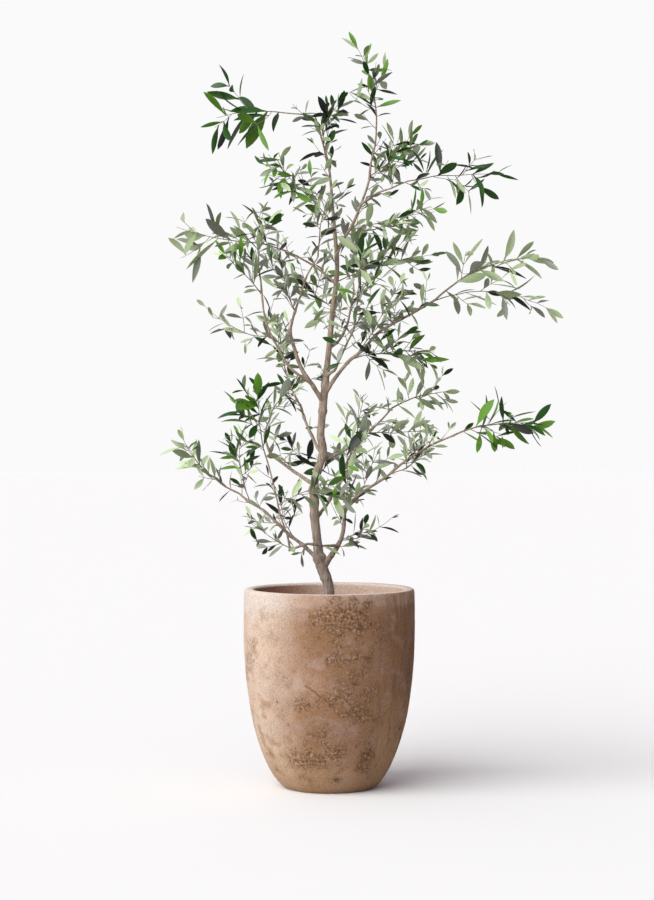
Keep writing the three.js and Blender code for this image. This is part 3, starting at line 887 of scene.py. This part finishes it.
growth = {
    "seed": 5,
    "angle": (30, 75),         # degrees between a leaf and its shoot
    "tipAngle": (8, 35),
    "internode": (19, 30),     # millimetres between the pairs on a shoot
    "twigInternode": (14, 23),
    "fallen": 0.32,            # share of the leaves that have dropped
    "droop": (-0.28, 0.32),    # how far a leaf hangs under its weight
    "stray": 0.28,             # how far it strays from its pair's order
    "turned": 0.85,            # how far its face turns from the light
    "leafSize": (0.78, 1.36),
    "twigStart": 0.1,          # twigs stand on this stretch of a shoot
    "twigStretch": 0.72,
    "twigAngle": (30, 70),
    "twigLength": (0.75, 1.5),  # as a share of the room out to the mass's outline
    "shortestTwig": 22,
    "spurSpan": (0.28, 0.98),  # the stretch of a bough that bears spurs
    "spurSpacing": 30.0,
    "spurLength": (18, 55),
    "spurLeaves": (28, 38),
    "shootRadius": 1.3,
    "twigRadius": 0.85,
    "tipRadius": 0.45,
    "leafRoom": 0.52,          # how much of a leaf stands past its shoot's tip
}

# how each tone deals out its leaves, on the older wood and at the young end of a shoot
tones = {
    "fresh": ({"glossy": 6, "fresh": 3},
              {"fresh": 5, "glossy": 6, "charcoal": 1}),
    "silver": ({"sage": 4, "grey": 3, "pale": 2, "charcoal": 2},
               {"pale": 6, "sage": 3, "grey": 1}),
    "deep": ({"charcoal": 5, "glossy": 3, "sage": 2},
             {"glossy": 4, "charcoal": 3, "sage": 2, "pale": 1}),
    "pale": ({"charcoal": 3, "glossy": 2, "sage": 3, "grey": 1},
             {"pale": 6, "sage": 3, "fresh": 1, "glossy": 1}),
    "sage": ({"grey": 4, "charcoal": 3, "sage": 3},
             {"sage": 4, "pale": 2, "glossy": 2, "fresh": 1}),
    "grey": ({"grey": 6, "charcoal": 3, "sage": 2},
             {"grey": 4, "sage": 3, "pale": 2, "glossy": 1}),
    "mixed": ({"grey": 3, "charcoal": 2, "sage": 3, "glossy": 2},
              {"sage": 3, "fresh": 3, "pale": 2, "glossy": 3}),
}

# each kind of leaf: its colour above and beneath
leafKinds = {
    "sage": ("#8a9a73", "#c6ceb9"),
    "grey": ("#848b7c", "#bfc3b5"),
    # painted shade: near-black leaves, above and beneath, stand in for leaves in shade
    "charcoal": ("#1b2619", "#5e6656"),
    "glossy": ("#1f470d", "#7a9757"),
    "fresh": ("#578424", "#9cbc68"),
    "pale": ("#b0c298", "#dbe4cd"),
}

grown = {kind: [] for kind in leafKinds}
woody, green = ([], []), ([], [])
standsFor = {kind: set() for kind in leafKinds}


def anyWay(rng, most):
    return Vector([rng.uniform(-most, most) for _ in range(3)])


def crossAxes(heading):
    # a level and an upright direction across a heading
    level = heading.cross(Vector((0, 0, 1)))
    level = level.normalized() if level.length > 0.05 else Vector((1, 0, 0))
    return level, level.cross(heading).normalized()


def addLeaf(kind, base, direction, up, length, rng):
    y = direction.normalized()
    z = (up - y * up.dot(y)).normalized()
    x = y.cross(z)
    width = rng.uniform(0.9, 1.2)
    turn = np.array(Matrix((x * length * width, y * length, z * length)).transposed())
    if length < 38 * mm:
        shape = rng.choice(["oblong", "oblong", "broad"])
    else:
        widest = "broad" if kind in ("fresh", "glossy") else "oblong"
        shape = rng.choice(["lance", "lance", "oblong", widest])
    grown[kind].append((shape, turn, np.array(base), rng.uniform(-0.05, 0.32), rng.uniform(-0.6, 0.6)))


def pickKind(tone, late, rng):
    deal = tones[tone][1 if rng.random() < late else 0]
    return rng.choices(list(deal), deal.values())[0]


def leafPairs(line, start, spacing, longest, tone, rng, age):
    # opposite pairs, each turned a quarter from the last, then a tuft at the tip
    kinds = set()
    quarter = rng.uniform(0, math.pi)
    share = start
    while share < 1:
        base, heading = line.at(share), line.heading(min(share, 0.98))
        level, rise = crossAxes(heading)
        quarter += math.pi / 2 + rng.uniform(-0.35, 0.35)
        last = share > 0.93
        # leaves are longest along the middle of a shoot
        size = longest * (0.62 + 0.38 * math.sin(math.pi * min(share * 1.05, 1)))
        for opposite in (0, math.pi):
            if rng.random() < growth["fallen"] and not last:
                continue
            angle = math.radians(rng.uniform(*growth["tipAngle" if last else "angle"]))
            out = level * math.cos(quarter + opposite) + rise * math.sin(quarter + opposite)
            direction = heading * math.cos(angle) + out * math.sin(angle) + anyWay(rng, growth["stray"])
            direction.z -= rng.uniform(*growth["droop"])
            face = Vector((0, 0, 0.5)) + heading * 0.4 + anyWay(rng, growth["turned"])
            kind = pickKind(tone, age + (1 - age) * share, rng)
            addLeaf(kind, base, direction, face, size * rng.uniform(*growth["leafSize"]) * mm, rng)
            kinds.add(kind)
        share += rng.uniform(*spacing) * mm / line.length
    return kinds


def growTwig(start, direction, forward, length, longest, tone, rng, store, radius, age):
    # a twig sweeps up and forward along its shoot
    bend = (forward * 0.35 + Vector((0, 0, 0.2)) + anyWay(rng, 0.3)) * length
    reach = direction * length + bend * 0.5
    line = curvedLine(start, reach, -bend * 0.14, 8)
    points = [line.at(i / 8) for i in range(9)]
    radii = [(radius + (growth["tipRadius"] - radius) * i / 8) * mm for i in range(9)]
    tube(points, radii, 5, store)
    return leafPairs(line, 0.22, growth["twigInternode"], longest, tone, rng, age)


def growShoot(name, number):
    parent, place, reach, bow, (thick, tall), tone, twigs, longest = shootPlan[name]
    rng = random.Random(growth["seed"] * 1000 + number)
    start = footOf(parent, place)
    short = 1 - growth["leafRoom"] * longest / Vector(reach).length
    line = curvedLine(start, Vector(reach) * mm * short, Vector(bow) * mm * short)
    onTip = place == 1
    radius = boughPlan[parent][5] if onTip else growth["shootRadius"]
    shift = Vector((number, 3.1, 0))
    points = []
    for i in range(25):
        wander = noise.noise_vector(line.at(i / 24) / (38 * mm) + shift) * 3 * mm * min(1, i / 6)
        points.append(line.at(i / 24) + wander)
    radii = [(radius + (growth["tipRadius"] - radius) * (i / 24) ** 0.8) * mm for i in range(25)]
    tube(points, radii, 7, woody)
    line = Line(points)
    kinds = leafPairs(line, 0.1 if onTip else 0.2, growth["internode"], longest, tone, rng, 0.0)
    for i in range(twigs):
        share = growth["twigStart"] + growth["twigStretch"] * (i + rng.uniform(0.1, 0.9)) / twigs
        heading = line.heading(share)
        level, rise = crossAxes(heading)
        # twigs fill the mass's outline, most of them in its broad plane
        turn = rng.uniform(0, math.tau)
        out = level * math.cos(turn) * thick + rise * math.sin(turn) * tall
        room = out.length
        angle = math.radians(rng.uniform(*growth["twigAngle"]))
        direction = heading * math.cos(angle) + out.normalized() * math.sin(angle)
        length = room * rng.uniform(*growth["twigLength"]) * mm * math.sin(math.pi * (0.2 + 0.7 * share))
        store = green if tone in ("fresh", "pale") and share > 0.4 else woody
        length = max(length, growth["shortestTwig"] * mm)
        kinds |= growTwig(line.at(share), direction, heading, length, longest * 0.85, tone, rng,
                          store, growth["twigRadius"], share * 0.7)
    for kind in kinds:
        standsFor[kind].add("foliage_" + name)


def growSpurs(name, first, last, number):
    # short leafy spurs stand along the older wood, from one share of its line to another
    rng = random.Random(growth["seed"] * 2000 + number)
    line = lines[name]
    count = max(1, round((last - first) * line.length / (growth["spurSpacing"] * mm)))
    for i in range(count):
        share = first + (last - first) * (i + rng.uniform(0, 1)) / count
        heading = line.heading(share)
        side = heading.orthogonal().normalized()
        side.rotate(Matrix.Rotation(rng.uniform(0, math.tau), 3, heading))
        direction = (heading * 0.5 + side + Vector((0, 0, 0.3))).normalized()
        length = rng.uniform(*growth["spurLength"]) * mm
        longest = rng.uniform(*growth["spurLeaves"])
        growTwig(line.at(share), direction, heading, length, longest, "grey", rng, woody, 0.95, 0.2)


def joinLeaves(kind):
    # every leaf of one kind, joined into one mesh by stacking its arrays
    top, under = leafKinds[kind]
    vertices, faces, slots, first = [], [], [], 0
    for shape, turn, shift, curl, twist in grown[kind]:
        # a leaf curls back and twists a little on its way to the tip
        points, corners, sides = leaves[shape]
        bent = points.copy()
        along = points[:, 1]
        swing = twist * along
        bent[:, 0] = points[:, 0] * np.cos(swing) - points[:, 2] * np.sin(swing)
        bent[:, 2] = points[:, 0] * np.sin(swing) + points[:, 2] * np.cos(swing) - curl * along ** 2
        vertices.append(bent @ turn.T + shift)
        faces.append(corners + first)
        slots.append(sides)
        first += len(points)
    above = leafSkin("leafTop" + kind.title(), top, 0.38)
    beneath = leafSkin("leafUnder" + kind.title(), under, 0.75)
    vertices, faces, slots = (np.concatenate(parts).tolist() for parts in (vertices, faces, slots))
    piece = newPiece("leaves_" + kind, vertices, faces, [above, beneath], slots)
    makeActive(piece)
    bpy.ops.object.shade_smooth_by_angle(angle=softUnder)
    join(piece, "leaves", *sorted(standsFor[kind]))
    print("leaves", kind, len(grown[kind]), len(piece.data.polygons))


def leafSkin(name, colour, roughness):
    # a waxy cuticle over the top, fine silver scales beneath: one plain colour for each, dealt out by spray
    return newMaterial(
        name, Base_Color=toLinear(colour), Roughness=roughness, Specular_IOR_Level=0.38)[0]


def twigSkin(name, dark, light, size):
    # thin bark with paler flecks
    material, tree, shader = newMaterial(name, Roughness=0.7)
    place = addNode(tree, "ShaderNodeTexCoord").outputs["Object"]
    flecks = addNode(tree, "ShaderNodeTexNoise", {"Scale": 1 / (size * mm), "Detail": 2.0}, {
        "Vector": place}).outputs["Fac"]
    colour = addNode(tree, "ShaderNodeValToRGB", {"stops": {0.35: dark, 0.7: light}}, {"Fac": flecks})
    tree.links.new(colour.outputs["Color"], shader.inputs["Base Color"])
    return material


def makeCrown():
    for number, name in enumerate(shootPlan):
        growShoot(name, number)
    for number, name in enumerate(boughPlan):
        if name != "top_left":
            growSpurs(name, *growth["spurSpan"], number)
    # the trunk is bare up to just over the fork
    growSpurs("trunk", trunkShare(470), 0.97, 99)
    wood = newPiece("twigs_woody", *woody, [twigSkin("twigBark", "#6d5c4c", "#968675", 3)])
    shoots = newPiece("shoots_young", *green, [twigSkin("greenShoot", "#8a936f", "#aab491", 4)])
    for piece in (wood, shoots):
        makeActive(piece)
        bpy.ops.object.shade_smooth_by_angle(angle=softUnder)
        join(piece, "bark", *["foliage_" + name for name in shootPlan])
    print("twigs", len(wood.data.polygons), "young shoots", len(shoots.data.polygons))
    for kind in leafKinds:
        joinLeaves(kind)


makeCrown()
